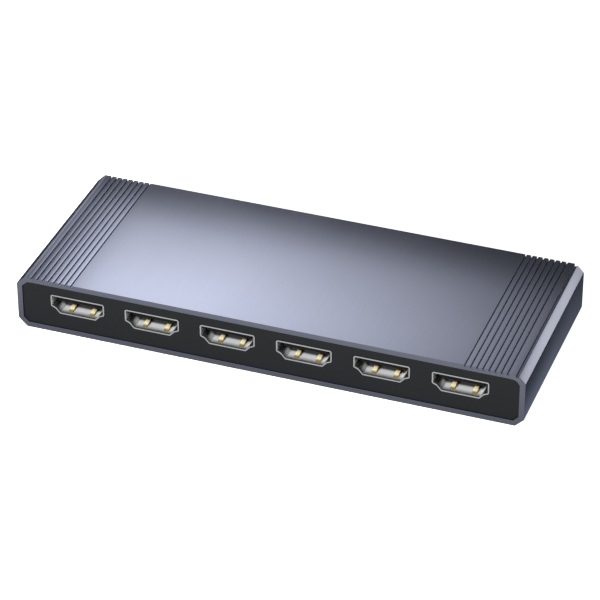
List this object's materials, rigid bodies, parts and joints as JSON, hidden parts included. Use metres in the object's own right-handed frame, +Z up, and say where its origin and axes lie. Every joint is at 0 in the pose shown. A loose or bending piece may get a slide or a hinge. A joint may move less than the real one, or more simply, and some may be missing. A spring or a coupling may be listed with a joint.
{
  "type": "hdmi switch",
  "caption": "Desktop HDMI switch: a long grooved aluminium sleeve with a row of HDMI sockets in a dark panel, and a select button, status lights and power inlet on the other side.",
  "frame": {"origin": "middle of the bounding box in plan, at the underside of the feet", "axes": "+X along the sleeve, -Y out of the HDMI socket side, +Z up"},
  "size_m": [0.1352, 0.0539, 0.0161],
  "materials": {
    "anodised_aluminium": "fine satin anodised, space grey",
    "panel_plastic": "fine matt mould texture",
    "board_laminate": "glass-epoxy laminate with solder mask",
    "shell_steel": "nickel-plated pressed steel",
    "insulator_plastic": "moulded black insulator",
    "contact_gold": "gold-plated contacts",
    "button_plastic": "satin moulded plastic",
    "switch_steel": "bright pressed steel",
    "plunger_plastic": "moulded plastic",
    "led_package": "white moulded package",
    "clear_plastic": "clear moulded plastic",
    "infrared_plastic": "dark red, clear to infrared",
    "chip_epoxy": "matt epoxy package",
    "ferrite": "ferrite",
    "can_aluminium": "bright can",
    "capacitor_ceramic": "fired ceramic",
    "resistor_ceramic": "glazed ceramic",
    "screw_steel": "blackened steel",
    "foot_rubber": "matt rubber"
  },
  "bodies": {
    "housing": {"bulk_capacitors": "can_aluminium", "chip_capacitors": "capacitor_ceramic", "chip_resistors": "resistor_ceramic", "circuit_board": "board_laminate", "control_chip": "chip_epoxy", "control_panel": "panel_plastic", "crystal": "switch_steel", "hdmi_contacts_1": "contact_gold", "hdmi_contacts_2": "contact_gold", "hdmi_contacts_3": "contact_gold", "hdmi_contacts_4": "contact_gold", "hdmi_contacts_5": "contact_gold", "hdmi_contacts_6": "contact_gold", "hdmi_shell_1": "shell_steel", "hdmi_shell_2": "shell_steel", "hdmi_shell_3": "shell_steel", "hdmi_shell_4": "shell_steel", "hdmi_shell_5": "shell_steel", "hdmi_shell_6": "shell_steel", "hdmi_tongue_1": "insulator_plastic", "hdmi_tongue_2": "insulator_plastic", "hdmi_tongue_3": "insulator_plastic", "hdmi_tongue_4": "insulator_plastic", "hdmi_tongue_5": "insulator_plastic", "hdmi_tongue_6": "insulator_plastic", "housing_screws": "screw_steel", "housing_sleeve": "anodised_aluminium", "infrared_receiver": "chip_epoxy", "infrared_window": "infrared_plastic", "light_pipe_1": "clear_plastic", "light_pipe_2": "clear_plastic", "light_pipe_3": "clear_plastic", "light_pipe_4": "clear_plastic", "light_pipe_5": "clear_plastic", "light_pipe_6": "clear_plastic", "memory_chips": "chip_epoxy", "port_panel": "panel_plastic", "power_inductor": "ferrite", "power_socket_contacts": "contact_gold", "power_socket_shell": "shell_steel", "power_socket_tongue": "insulator_plastic", "push_switch_body": "insulator_plastic", "push_switch_cover": "switch_steel", "push_switch_dome": "switch_steel", "rubber_foot_1": "foot_rubber", "rubber_foot_2": "foot_rubber", "rubber_foot_3": "foot_rubber", "rubber_foot_4": "foot_rubber", "status_leds": "led_package", "surge_arrays": "chip_epoxy", "switch_chip": "chip_epoxy", "voltage_regulator": "chip_epoxy"},
    "select_button": {"select_button": "button_plastic"},
    "switch_plunger": {"push_switch_plunger": "plunger_plastic"}
  },
  "joints": [
    {"name": "select_button_press", "type": "slide", "parent": "housing", "child": "select_button", "axis": [0, -1, 0], "range_m": [0, 0.0005], "stiffness_N_per_m": 2500},
    {"name": "switch_plunger_press", "type": "slide", "parent": "housing", "child": "switch_plunger", "axis": [0, -1, 0], "range_m": [0, 0.0005], "deforming": ["push_switch_dome"]}
  ],
  "couplings": [
    {"joint": "switch_plunger_press", "follows": "select_button_press", "ratio": 1}
  ]
}
